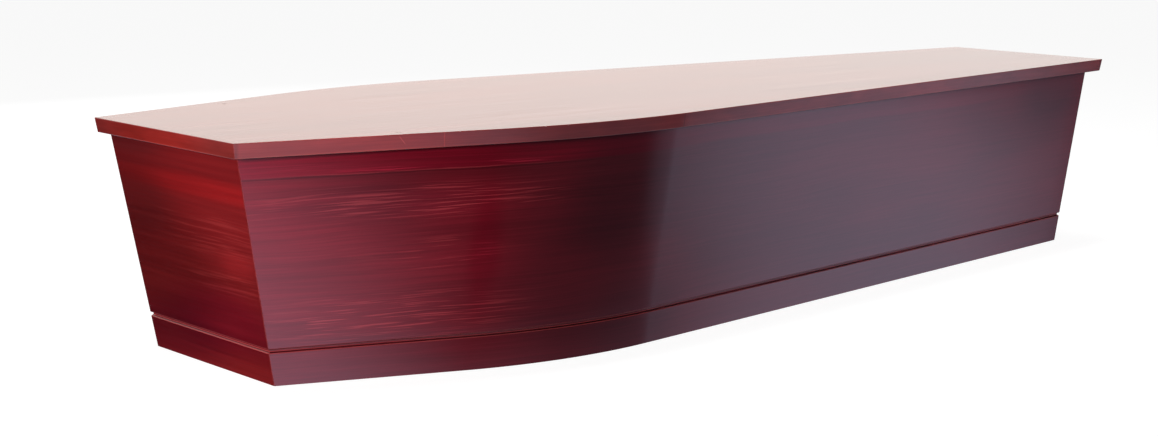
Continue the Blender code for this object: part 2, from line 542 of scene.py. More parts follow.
    def striped(self, colour: Socket) -> Socket:
        """The colour with a painted reflection edge: the band along the top of the board is painted a purer red, as
        the wall looks where it stops mirroring the pale floor, with a dark line under it.

        Args:
            colour: the colour so far.

        Returns:
            The colour's socket.
        """
        along, up, foot = self.part(self.across, "X"), self.part(self.across, "Y"), self.wood.stripe_height
        pure = self.product(self.ramp(up, foot, foot + self.stripe_edge), self.ramp(along, *self.stripe_fade))
        colour = self.tinted(colour, pure, self.stripe_tone)
        off = self.math("ABSOLUTE", self.math("SUBTRACT", up, foot - self.stripe_line_drop))
        line = self.product(self.ramp(off, *self.stripe_line_edge), self.ramp(along, *self.stripe_line_fade))
        return self.tinted(colour, line, self.stripe_line_tone)

    def on_right(self, share: Socket) -> Socket:
        """A share kept on the right side of the coffin and 0 on its left side."""
        return self.product(share, self.math("LESS_THAN", self.part(self.here, "Y"), 0.0))

    def scratched(self, colour: Socket, scratch: Scratch) -> Socket:
        """The colour with one pale scratch on the right side of the edge.

        Args:
            colour: the colour so far.
            scratch: the scratch.

        Returns:
            The colour's socket.
        """
        run, rise = scratch.end[0] - scratch.start[0], scratch.end[1] - scratch.start[1]
        length = hypot(run, rise)
        off = self.vector("SUBTRACT", self.swept, (*scratch.start, 0.0))
        along = self.dot(off, (run / length, rise / length, 0.0))
        beside = self.math("ABSOLUTE", self.dot(off, (-rise / length, run / length, 0.0)))
        tip, width = self.scratch_tip, scratch.width
        ends = self.product(self.ramp(along, 0.0, tip), self.ramp(along, length, length - tip))
        share = self.product(ends, self.ramp(beside, width, width * self.scratch_core))
        return self.tinted(colour, self.on_right(share), self.scratch_tone)

    def uneven_coat(self) -> Socket:
        """The lacquer's weight: a little thinner along the grain, and dull in the finish's own patches.

        Returns:
            The weight's socket.
        """
        wood, grain = self.wood, self.noise(self.across, *self.coat_noise)
        weight = self.ramp(grain, *self.coat_run, (wood.coat * (1.0 - wood.coat_grain), wood.coat))
        for patch in wood.dull_patches:
            weight = self.product(weight, self.lerp("FLOAT", self.within(patch), 1.0, self.dulled_coat))
        return weight

    def bump(self) -> Socket:
        """The normal over the slight relief of the fibres.

        Returns:
            The normal's socket.
        """
        height = self.math("SUBTRACT", self.fibres, self.product(self.streaks, self.streak_dip))
        inputs = {"Strength": self.bump_strength, "Distance": self.wood.relief, "Height": height}
        return self.node("ShaderNodeBump", inputs).outputs[0]


class BoardTree:
    """The Geometry Nodes tree that sweeps a board's rows of points along its four rails."""

    rails = ("First Edge Face", "First Edge Back", "Second Edge Face", "Second Edge Back")
    corners = ("Start", "Turn", "End")
    step_counts = ("Straight Steps", "Bend Steps")
    finish_names = ("Face Finish", "Back Finish", "Edge Finish")

    def __init__(self) -> None:
        """Builds the rail group and the board tree."""
        self.rail_tree = self.build_rail()
        self.tree = self.build()

    @staticmethod
    def group(name: str, inputs: dict[str, str], output: str) -> Sketch:
        """A sketch on a new group of geometry nodes.

        Args:
            name: the group's name.
            inputs: the type of each named input, without its NodeSocket prefix.
            output: the name of its one output, a geometry.

        Returns:
            The sketch.
        """
        tree = bpy.data.node_groups.new(name, "GeometryNodeTree")
        for socket, kind in inputs.items():
            tree.interface.new_socket(socket, in_out="INPUT", socket_type=f"NodeSocket{kind}")
        tree.interface.new_socket(output, in_out="OUTPUT", socket_type="NodeSocketGeometry")
        return Sketch(tree)

    def build_rail(self) -> bpy.types.NodeTree:
        """A group that makes one rail as a curve, with stations in its straight runs and in its bend.

        Returns:
            The group's tree.
        """
        inputs = dict.fromkeys(self.corners, "Vector") | {"Radius": "Float"} | dict.fromkeys(self.step_counts, "Int")
        sketch = self.group("rail", inputs, "Rail")
        given = sketch.node("NodeGroupInput").outputs
        index = sketch.node("GeometryNodeInputIndex").outputs[0]
        corner = sketch.node("GeometryNodeIndexSwitch", data_type="VECTOR")
        corner.index_switch_items.new()
        for key, value in enumerate((index, *(given[name] for name in self.corners))):
            sketch.feed(corner.inputs[key], value)
        points = sketch.node("GeometryNodeMeshLine", {"Count": 3}).outputs[0]
        placed = sketch.node("GeometryNodeSetPosition", {0: points, "Position": corner.outputs[0]}).outputs[0]
        bare = sketch.node("GeometryNodeMeshToCurve", {0: placed}).outputs[0]
        bend = {"Curve": bare, "Radius": given["Radius"], "Count": given["Bend Steps"]}
        bent = sketch.node("GeometryNodeFilletCurve", bend, mode="POLY").outputs[0]
        in_bend = sketch.math("COMPARE", index, sketch.math("ADD", given["Bend Steps"], 1.0), 0.5)
        at_start = sketch.math("COMPARE", index, 0.0, 0.5)
        cuts = sketch.product(
            sketch.math("SUBTRACT", given["Straight Steps"], 1.0), sketch.math("ADD", at_start, in_bend)
        )
        fine = sketch.node("GeometryNodeSubdivideCurve", {0: bent, "Cuts": cuts}).outputs[0]
        count = sketch.math("ADD", sketch.product(given["Straight Steps"], 2.0), 1.0)
        plain = sketch.node("GeometryNodeResampleCurve", {"Curve": bare, "Count": count}).outputs[0]
        either = {"Switch": sketch.math("GREATER_THAN", given["Radius"], 0.0), "False": plain, "True": fine}
        rail = sketch.node("GeometryNodeSwitch", either, input_type="GEOMETRY").outputs[0]
        sketch.node("NodeGroupOutput", {"Rail": rail})
        return sketch.tree

    def build(self) -> bpy.types.NodeTree:
        """The board tree.

        Its own mesh gives the rows: X is the depth below the face as a share of the thickness, and Z is the
        share of the way from the first edge to the second.

        Returns:
            The tree.
        """
        inputs = {"Rows": "Geometry"}
        for rail in self.rails:
            inputs |= {f"{rail} {corner}": "Vector" for corner in self.corners} | {f"{rail} Radius": "Float"}
        inputs |= dict.fromkeys((*self.step_counts, "Row Count"), "Int")
        inputs |= dict.fromkeys(("Thickness", "Grain Start"), "Float") | dict.fromkeys(self.finish_names, "Material")
        sketch = self.group("board_between_rails", inputs, "Board")
        given = sketch.node("NodeGroupInput").outputs
        curves = [self.rail_node(sketch, given, rail) for rail in self.rails]
        ends = sketch.node("GeometryNodeAttributeDomainSize", {0: curves[0]}, component="CURVE")
        stations = ends.outputs["Point Count"]
        grid = {"Size": (1.0, 1.0, 1.0), "Vertices X": stations, "Vertices Y": 2, "Vertices Z": given["Row Count"]}
        board = sketch.node("GeometryNodeMeshCube", grid).outputs[0]
        here = sketch.node("GeometryNodeInputPosition").outputs[0]
        station = self.step_of(sketch, sketch.part(here, "X"), stations)
        row = self.step_of(sketch, sketch.part(here, "Z"), given["Row Count"])
        back = sketch.math("GREATER_THAN", sketch.part(here, "Y"), 0.0)
        spots = [self.sample(sketch, "FLOAT_VECTOR", curve, here, station) for curve in curves]
        profile = self.sample(sketch, "FLOAT_VECTOR", given["Rows"], here, row)
        share = sketch.part(profile, "Z")
        face, behind = (sketch.lerp("VECTOR", share, spots[first], spots[first + 2]) for first in (0, 1))
        depth = sketch.lerp("FLOAT", back, sketch.part(profile, "X"), 1.0)
        place = sketch.lerp("VECTOR", depth, face, behind)
        run = sketch.node("GeometryNodeSplineParameter").outputs["Length"]
        along = sketch.math("ADD", self.sample(sketch, "FLOAT", curves[2], run, station), given["Grain Start"])
        mark = sketch.joined(X=along, Y=sketch.part(place, "Z"), Z=sketch.product(depth, given["Thickness"]))
        front = sketch.math("SUBTRACT", 1.0, back)
        for name, value, kind in ((GRAIN, mark, "FLOAT_VECTOR"), ("back", back, "FLOAT"), ("front", front, "FLOAT")):
            stored = {0: board, "Name": name, "Value": value}
            board = sketch.node("GeometryNodeStoreNamedAttribute", stored, data_type=kind).outputs[0]
        board = sketch.node("GeometryNodeSetPosition", {0: board, "Position": place}).outputs[0]
        board = sketch.node("GeometryNodeRealizeInstances", {0: board}).outputs[0]
        board = sketch.node("GeometryNodeSetMaterial", {0: board, "Material": given["Edge Finish"]}).outputs[0]
        board = self.dress(sketch, board, "front", given["Face Finish"])
        board = self.dress(sketch, board, "back", given["Back Finish"])
        sketch.node("NodeGroupOutput", {"Board": board})
        return sketch.tree

    def rail_node(self, sketch: Sketch, given: bpy.types.NodeOutputs, rail: str) -> Socket:
        """One rail of the board, made by the rail group.

        Args:
            sketch: the board tree's sketch.
            given: the board tree's input sockets.
            rail: the rail's name.

        Returns:
            The curve's socket.
        """
        inputs = {name: given[f"{rail} {name}"] for name in (*self.corners, "Radius")}
        inputs |= {name: given[name] for name in self.step_counts}
        return sketch.node("GeometryNodeGroup", inputs, node_tree=self.rail_tree).outputs[0]

    @staticmethod
    def step_of(sketch: Sketch, value: Socket, count: Socket) -> Socket:
        """The whole number, from 0, of a grid line whose place in the unit cube is from -0.5 to 0.5."""
        share = sketch.math("ADD", value, 0.5)
        return sketch.math("ROUND", sketch.product(share, sketch.math("SUBTRACT", count, 1.0)))

    @staticmethod
    def sample(sketch: Sketch, kind: str, source: Socket, value: Socket, index: Socket) -> Socket:
        """A value of this kind at one point of a curve or mesh."""
        inputs = {"Geometry": source, "Value": value, "Index": index}
        return sketch.node("GeometryNodeSampleIndex", inputs, data_type=kind, clamp=True).outputs[0]

    @staticmethod
    def dress(sketch: Sketch, mesh: Socket, flag: str, finish: Socket) -> Socket:
        """Gives a finish to the faces whose points all carry a flag.

        Args:
            sketch: the board tree's sketch.
            mesh: the board.
            flag: the flag's attribute.
            finish: the material's socket.

        Returns:
            The dressed board's socket.
        """
        flagged = sketch.node("GeometryNodeInputNamedAttribute", {"Name": flag}).outputs[0]
        wholly = sketch.node("GeometryNodeFieldOnDomain", {0: flagged}, domain="FACE").outputs[0]
        chosen = sketch.math("GREATER_THAN", wholly, 0.99)
        inputs = {0: mesh, "Selection": chosen, "Material": finish}
        return sketch.node("GeometryNodeSetMaterial", inputs).outputs[0]

    def sweep(
        self,
        name: str,
        rails: tuple[Rail, ...],
        rows: list[Plan],
        steps: Steps,
        thickness: float,
        finishes: tuple[Finish, ...],
        grain_start: float = 0.0,
    ) -> Piece:
        """Builds a board as a plain mesh object at the origin.

        Args:
            name: the board's name.
            rails: its rails, in the order of the class's rail names.
            rows: (depth share, share of the way from the first edge to the second) of each row.
            steps: how finely it is swept.
            thickness: the board's thickness.
            finishes: the materials of its face, back and edges.
            grain_start: where its length is cut from, in metres along the grain.

        Returns:
            The object, linked to the scene.
        """
        mesh = bpy.data.meshes.new(f"{name}_rows")
        mesh.from_pydata([(depth, 0.0, share) for depth, share in rows], [], [])
        board = linked(name, mesh)
        modifier = board.modifiers.new("board", "NODES")
        modifier.node_group = self.tree
        values = {"Straight Steps": steps.straight, "Bend Steps": steps.bend, "Row Count": len(rows)}
        values |= {"Thickness": thickness, "Grain Start": grain_start} | dict(zip(self.finish_names, finishes))
        for rail_name, rail in zip(self.rails, rails):
            points = zip(self.corners, (rail.start, rail.turn, rail.end))
            values |= {f"{rail_name} {corner}": point for corner, point in points}
            values[f"{rail_name} Radius"] = rail.radius
        sockets = {s.name: s.identifier for s in self.tree.interface.items_tree if s.in_out == "INPUT"}
        for key, value in values.items():
            modifier[sockets[key]] = value
        return flatten(board)


def linked(name: str, data: bpy.types.ID) -> Piece:
    """A new object, linked to the scene.

    Args:
        name: the object's name.
        data: its mesh, light or camera.

    Returns:
        The object.
    """
    made = bpy.data.objects.new(name, data)
    bpy.context.scene.collection.objects.link(made)
    return made


def flatten(piece: Piece) -> Piece:
    """Turns a piece's modifiers into its plain mesh.

    Args:
        piece: the piece with its modifiers.

    Returns:
        The same object, with the finished mesh and no modifiers.
    """
    bpy.context.view_layer.update()
    graph = bpy.context.evaluated_depsgraph_get()
    done = bpy.data.meshes.new_from_object(piece.evaluated_get(graph), depsgraph=graph)
    old = piece.data
    piece.modifiers.clear()
    piece.data = done
    bpy.data.meshes.remove(old)
    done.name = piece.name
    return piece


def face_outwards(piece: Piece) -> None:
    """Points every face of a closed piece outwards.

    Args:
        piece: the piece.
    """
    mesh = bmesh.new()
    mesh.from_mesh(piece.data)
    bmesh.ops.recalc_face_normals(mesh, faces=mesh.faces)
    mesh.to_mesh(piece.data)
    mesh.free()


def ease(piece: Piece, width: float, segments: int = 2, rubbed: Finish | None = None) -> Piece:
    """Rounds a piece's sharp edges a little and shades it smooth.

    Args:
        piece: the piece.
        width: the width of each rounded edge.
        segments: how many faces round it.
        rubbed: the finish of the rounded edges, where it isn't that of the faces beside them.

    Returns:
        The same object.
    """
    face_outwards(piece)
    piece.data.shade_smooth()
    arris = piece.modifiers.new("arris", "BEVEL")
    arris.width = width
    arris.segments = segments
    arris.limit_method = "ANGLE"
    arris.angle_limit = ARRIS_ANGLE
    if rubbed:
        piece.data.materials.append(rubbed)
        arris.material = len(piece.data.materials) - 1
    return even_shading(flatten(piece))


def even_shading(piece: Piece) -> Piece:
    """Keeps a piece's flat faces flat to the eye, and its sharp corners sharp.

    Args:
        piece: the piece.

    Returns:
        The same object.
    """
    piece.data.set_sharp_from_angle(angle=SHARP_ANGLE)
    even = piece.modifiers.new("even_shading", "WEIGHTED_NORMAL")
    even.keep_sharp = True
    even.weight = 100
    return flatten(piece)


def place_piece(piece: Piece, node: str) -> Piece:
    """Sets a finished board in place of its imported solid.

    Args:
        piece: the board.
        node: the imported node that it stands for.

    Returns:
        The same object.
    """
    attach(piece, "root")
    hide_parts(node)
    low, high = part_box(node)
    log.info("%s: %d faces, in the place of a solid from %s to %s", piece.name, len(piece.data.polygons), low, high)
    return piece


@dataclass(frozen=True)
class Finishes:
    """The coffin's finishes, each made once."""

    side: Finish
    end: Finish
    lid: Finish
    edging: Finish
    rubbed: Finish
    inside: Finish
    base: Finish

    @classmethod
    def mixed(cls, holes: tuple[Patch, ...]) -> "Finishes":
        """All the finishes.

        Args:
            holes: where the lid's lacquer is broken round its pilot holes.

        Returns:
            The set of materials.
        """
        side = StainedWood(
            (0.225, 0.009, 0.020), (0.175, 0.007, 0.0155), (0.58, 0.055, 0.072),
            gloss_level=0.0,
            coat_roughness=0.13,
            streak_share=0.55,
            streak_repeats=(8.0, 350.0),
            streak_patches=(
                Patch(0.27, 0.262, (0.38, 0.036)),
                Patch(0.24, 0.092, (0.34, 0.050)),
                Patch(0.33, 0.180, (0.12, 0.035)),
                Patch(0.33, 0.310, (0.30, 0.008)),
            ),
            patches=(
                # Painted shade: the next three patches darken the bend of the right side, 0.4 m to 0.8 m along, where
                # the key light falls away
                Patch(0.58, 0.120, (0.20, 0.17), (0.68, 0.7, 0.7)),
                Patch(0.64, 0.270, (0.15, 0.18), (0.70, 1.0, 0.9)),
                Patch(0.71, 0.050, (0.13, 0.12), (0.78, 0.9, 0.9)),
                Patch(1.87, 0.310, (0.16, 0.12), (0.66, 0.9, 0.85)),
                Patch(0.395, 0.180, (0.040, 0.13), (0.95, 0.40, 0.7)),
                Patch(0.20, 0.262, (0.24, 0.04), (0.86, 1.0, 1.0)),
                Patch(0.35, 0.262, (0.15, 0.05), (1.30, 1.3, 1.3)),
            ),
            stripe_height=0.306,
            groove=(0.0498, 0.0568),
            calmed=0.7,
        )
        end = StainedWood(
            (0.195, 0.011, 0.013), (0.155, 0.008, 0.010), (0.36, 0.034, 0.036),
            seed=7.3,
            gloss_level=0.1,
            streak_repeats=(7.0, 330.0),
            streak_patches=(Patch(0.26, 0.215, (0.24, 0.05)), Patch(0.27, 0.145, (0.18, 0.03))),
            waviness=0.006,
            patches=(
                Patch(0.24, 0.284, (0.5, 0.024), (1.36, 0.95, 0.95)),
                Patch(0.08, 0.150, (0.28, 0.15), (0.60, 0.6, 0.6)),
                Patch(0.32, 0.172, (0.07, 0.030), (1.20, 1.2, 1.2)),
                Patch(0.06, 0.040, (0.26, 0.07), (0.66, 0.5, 0.8)),
                Patch(0.25, 0.080, (0.26, 0.075), (0.76, 0.45, 0.9)),
                Patch(0.04, 0.245, (0.16, 0.08), (0.76, 0.9, 0.9)),
                Patch(0.05, 0.335, (0.15, 0.03), (0.84, 1.2, 1.2)),
            ),
        )
        lid = StainedWood(
            (0.22, 0.040, 0.030), (0.12, 0.018, 0.014), (0.32, 0.080, 0.060),
            frame=GrainFrame.PLACE,
            seed=3.1,
            coat_grain=0.05,
            patches=holes,
            dull_patches=holes,
        )
        edging = StainedWood(
            (0.43, 0.046, 0.044), (0.37, 0.036, 0.034), (0.60, 0.090, 0.075),
            frame=GrainFrame.EDGE,
            seed=5.7,
            gloss_level=0.05,
            coat=0.66,
            streak_share=0.2,
            cloud_repeats=(14.0, 40.0),
            cloud_depth=0.12,
            patches=(
                Patch(-0.20, 0.352, (0.13, 0.06), (0.78, 0.9, 0.9)),
                Patch(1.58, 0.352, (0.50, 0.08), (0.66, 0.8, 0.8)),
                Patch(0.03, 0.352, (0.18, 0.10), (1.03, 0.74, 0.66)),
            ),
            end_tone=0.72,
            joints=((0.314, 1.4), (0.749, 0.6)),
            scratches=(Scratch((0.2435, 0.3625), (0.2545, 0.348)),),
            rubbed_below=0.3432,
        )
        rubbed = StainedWood(
            (0.37, 0.050, 0.055), (0.26, 0.028, 0.032), (0.50, 0.100, 0.095), seed=2.2, coat=0.25, gloss_level=0.1
        )
        inside = StainedWood(
            (0.30, 0.110, 0.070), (0.18, 0.060, 0.038), (0.40, 0.170, 0.120), seed=9.1, coat=0.0, roughness=0.6
        )
        base = StainedWood(
            (0.26, 0.095, 0.060), (0.15, 0.050, 0.032), (0.36, 0.150, 0.100),
            frame=GrainFrame.PLACE,
            seed=4.4,
            coat=0.0,
            roughness=0.65,
        )
        return cls(
            side.material("side_lacquer"),
            end.material("end_lacquer"),
            lid.material("lid_lacquer"),
            edging.material("lid_edging"),
            rubbed.material("rubbed_lacquer"),
            inside.material("inside_stain"),
            base.material("base_stain"),
        )


@dataclass(frozen=True)
class LidShape:
    """The lid's sizes and its pilot holes. Its shoulder is where the lines of its two straight edges would meet."""

    length: float = 2.000
    head_width: float = 0.408
    shoulder_width: float = 0.712
    foot_width: float = 0.374
    shoulder_from_head: float = 0.559
    bend_radius: float = 0.950
    edge_lean: float = 0.0035
    pilot_from_head: float = 0.248
    pilot_from_edge: Plan = (0.033, 0.021)
    pilot_ring: float = 0.0055
    pilot_tone: Colour = (0.45, 0.7, 0.6)

    def top(self) -> Outline:
        """The lid's upper edge."""
        return Outline(
            (-self.length / 2, self.head_width / 2),
            (-self.length / 2 + self.shoulder_from_head, self.shoulder_width / 2),
            (self.length / 2, self.foot_width / 2),
            self.bend_radius,
        )

    def under(self) -> Outline:
        """The lid's lower edge."""
        return self.top().inset(self.edge_lean, self.edge_lean, self.edge_lean)

    def pilot_places(self) -> list[Plan]:
        """Where the two pilot holes are.

        Returns:
            (x, y) of each, left and right.
        """
        outline = self.top()
        rise = atan2(outline.shoulder[1] - outline.head[1], outline.shoulder[0] - outline.head[0])
        edge = outline.head[1] + self.pilot_from_head * tan(rise)
        x = outline.head[0] + self.pilot_from_head
        return [(x, side * (edge - inset / cos(rise))) for side, inset in zip((1, -1), self.pilot_from_edge)]

    def broken_lacquer(self) -> tuple[Patch, ...]:
        """The dull rings that the drill left round the pilot holes."""
        reach = (self.pilot_ring, self.pilot_ring)
        return tuple(Patch(x, y, reach, self.pilot_tone) for x, y in self.pilot_places())


@dataclass
class Walls:
    """The four walls, which lean outwards and carry a V-groove low down all round."""

    lid: LidShape
    tree: BoardTree
    finishes: Finishes
    height: float = 0.3407
    thickness: float = 0.018
    overhang_side: float = 0.0185
    overhang_head: float = 0.0130
    overhang_foot: float = 0.0250
    head_lean: float = 0.061
    foot_lean: float = 0.0415
    shoulder_shift: float = 0.053
    head_corner_in: float = 0.015
    shoulder_in: float = 0.005
    foot_corner_in: float = 0.0285
    floor_bend_radius: float = 0.700
    groove_top: float = 0.0565
    groove_upper_face: float = 0.0015
    groove_flat: float = 0.0024
    groove_lower_face: float = 0.0027
    groove_depth: float = 0.0035
    fit_gap: float = 0.0003
    arris: float = 0.0007
    panel_rows: int = 14
    second_cut: float = 5.0
    side_steps: Steps = field(default_factory=lambda: Steps(24, 72))
    end_steps: Steps = field(default_factory=lambda: Steps(12))

    def rim(self) -> Outline:
        """The outer face at the rim, under the lid's overhang."""
        return self.lid.under().inset(self.overhang_side, self.overhang_head, self.overhang_foot)

    def floor(self) -> Outline:
        """The outer face at the floor."""
        rim = self.rim()
        return Outline(
            (rim.head[0] + self.head_lean, rim.head[1] - self.head_corner_in),
            (rim.shoulder[0] - self.shoulder_shift, rim.shoulder[1] - self.shoulder_in),
            (rim.foot[0] - self.foot_lean, rim.foot[1] - self.foot_corner_in),
            self.floor_bend_radius,
        )

    def inner(self, outline: Outline) -> Outline:
        """The inner face on the level of this outer outline."""
        return outline.inset(self.thickness, self.thickness, self.thickness)

    def rows(self) -> list[Plan]:
        """The rows of the outer face, from the floor to the rim, with the groove's.

        Returns:
            (depth share, height share) of each row.
        """
        lower_lip = self.groove_top - self.groove_upper_face - self.groove_flat - self.groove_lower_face
        depth = self.groove_depth / self.thickness
        heights = [(0.0, 0.0), (0.0, lower_lip / 2), (0.0, lower_lip), (depth, lower_lip + self.groove_lower_face)]
        heights += [(depth, self.groove_top - self.groove_upper_face), (0.0, self.groove_top)]
        panel = self.height - self.groove_top
        heights += [(0.0, self.groove_top + panel * i / self.panel_rows) for i in range(1, self.panel_rows + 1)]
        return [(deep, height / self.height) for deep, height in heights]

    def side_board(self, side: Side) -> Piece:
        """A long wall.

        Args:
            side: which of the two.

        Returns:
            The board.
        """
        floor, rim, sign = self.floor(), self.rim(), side.value
        rails = (
            Rail.along(floor, sign, 0.0),
            Rail.along(self.inner(floor), sign, 0.0),
            Rail.along(rim, sign, self.height),
            Rail.along(self.inner(rim), sign, self.height),
        )
        name = f"side_wall_{side.name.lower()}"
        start = 0.0 if side is Side.RIGHT else self.second_cut
        return self.wall(name, rails, self.side_steps, self.finishes.side, start)

    def end_board(self, end: End) -> Piece:
        """An end wall, between the mitres of the long walls.

        Args:
            end: which of the two.

        Returns:
            The board.
        """
        rails = []
        for outline, height in ((self.floor(), 0.0), (self.rim(), self.height)):
            outer, within = getattr(outline, end.value), getattr(self.inner(outline), end.value)
            gap = self.mitre_gap(outer, within)
            for x, y in (outer, within):
                rails.append(Rail.straight((x, y - gap, height), (x, gap - y, height)))
        start = 0.0 if end is End.HEAD else self.second_cut
        return self.wall(f"{end.value}_wall", tuple(rails), self.end_steps, self.finishes.end, start)

    def wall(self, name: str, rails: tuple[Rail, ...], steps: Steps, finish: Finish, start: float) -> Piece:
        """A wall with the groove in its face, bare inside and rubbed along its arrises.

        Args:
            name: the wall's name.
            rails: its four rails.
            steps: how finely it is swept.
            finish: the finish of its face and edges.
            start: where its length is cut from, in metres along the grain.

        Returns:
            The board.
        """
        finishes = (finish, self.finishes.inside, finish)
        board = self.tree.sweep(name, rails, self.rows(), steps, self.thickness, finishes, start)
        return ease(board, self.arris, rubbed=self.finishes.rubbed)

    def mitre_gap(self, outer: Plan, within: Plan) -> float:
        """How far an end wall's corner moves across the coffin to leave the fit gap square to its mitre."""
        along, across = within[0] - outer[0], within[1] - outer[1]
        return self.fit_gap * hypot(along, across) / abs(along)


@dataclass
class BaseBoard:
    """The floor board, inside the walls and following their lean."""

    walls: Walls
    thickness: float = 0.018
    arris: float = 0.0006
    arris_faces: int = 1
    across: int = 8
    steps: Steps = field(default_factory=lambda: Steps(16, 32))

    def outline(self, share: float) -> Outline:
        """The board's edge at a share of the walls' height, drawn in by the fit gap.

        Args:
            share: the share of the walls' height.

        Returns:
            The outline.
        """
        gap = self.walls.fit_gap
        levels = (self.walls.inner(level).inset(gap, gap, gap) for level in (self.walls.floor(), self.walls.rim()))
        floor, rim = levels
        corners = [
            tuple(p + (q - p) * share for p, q in zip(low, high))
            for low, high in ((floor.head, rim.head), (floor.shoulder, rim.shoulder), (floor.foot, rim.foot))
        ]
        return Outline(*corners, floor.radius + (rim.radius - floor.radius) * share)

    def board(self) -> Piece:
        """The base board.

        Returns:
            The board.
        """
        lower, upper = self.outline(0.0), self.outline(self.thickness / self.walls.height)
        rails = tuple(
            Rail.along(edge, side, height)
            for side in (1, -1)
            for edge, height in ((upper, self.thickness), (lower, 0.0))
        )
        rows = [(0.0, i / self.across) for i in range(self.across + 1)]
        finishes = (self.walls.finishes.base,) * 3
        board = self.walls.tree.sweep("coffin_floor", rails, rows, self.steps, self.thickness, finishes)
        return ease(board, self.arris, self.arris_faces)


@dataclass
class Lid:
    """The lid: a flat board with an edge that leans in as it goes down, and two pilot holes."""

    shape: LidShape
    tree: BoardTree
    finishes: Finishes
    rim_height: float = 0.3407
    fit_gap: float = 0.0003
    thickness: float = 0.023
    arris: float = 0.0011
    arris_faces: int = 3
    across: int = 10
    pilot_radius: float = 0.00125
    pilot_depth: float = 0.012
    drill_sides: int = 24
    steps: Steps = field(default_factory=lambda: Steps(24, 72))

    def board(self) -> Piece:
        """The lid board.

        Returns:
            The board.
        """
        low = self.rim_height + self.fit_gap
        high = low + self.thickness
        rails = tuple(
            Rail.along(edge, side, height)
            for side in (1, -1)
            for edge, height in ((self.shape.top(), high), (self.shape.under(), low))
        )
        rows = [(0.0, i / self.across) for i in range(self.across + 1)]
        finishes = (self.finishes.lid, self.finishes.lid, self.finishes.edging)
        board = self.tree.sweep("lid", rails, rows, self.steps, self.thickness, finishes)
        return self.bored(ease(board, self.arris, self.arris_faces), high)

    def bored(self, board: Piece, top: float) -> Piece:
        """Bores the two pilot holes.

        Args:
            board: the lid.
            top: the height of its upper face.

        Returns:
            The same object.
        """
        cutters = []
        for x, y in self.shape.pilot_places():
            drill = bmesh.new()
            bmesh.ops.create_cone(
                drill,
                cap_ends=True,
                segments=self.drill_sides,
                radius1=self.pilot_radius,
                radius2=self.pilot_radius,
                depth=2 * self.pilot_depth,
                matrix=Matrix.Translation((x, y, top)),
            )
            data = bpy.data.meshes.new("pilot_drill")
            drill.to_mesh(data)
            drill.free()
            cutter = linked("pilot_drill", data)
            cutters.append(cutter)
            bore = board.modifiers.new("pilot_hole", "BOOLEAN")
            bore.operation = "DIFFERENCE"
            bore.solver = "EXACT"
            bore.object = cutter
        flatten(board)
        for cutter in cutters:
            bpy.data.objects.remove(cutter)
        return even_shading(board)


@dataclass(frozen=True)
class Fade:
    """A soft edge in what the lacquer mirrors: from one strength at an angle in degrees to another at a second."""

    start: float
    end: float
    least: float = 0.0
    most: float = 1.0


@dataclass(frozen=True)
class Region:
    """A lit region round the coffin, bounded by soft edges in azimuth, from +X towards +Y, and in elevation."""

    azimuth: tuple[Fade, ...]
    elevation: tuple[Fade, ...]


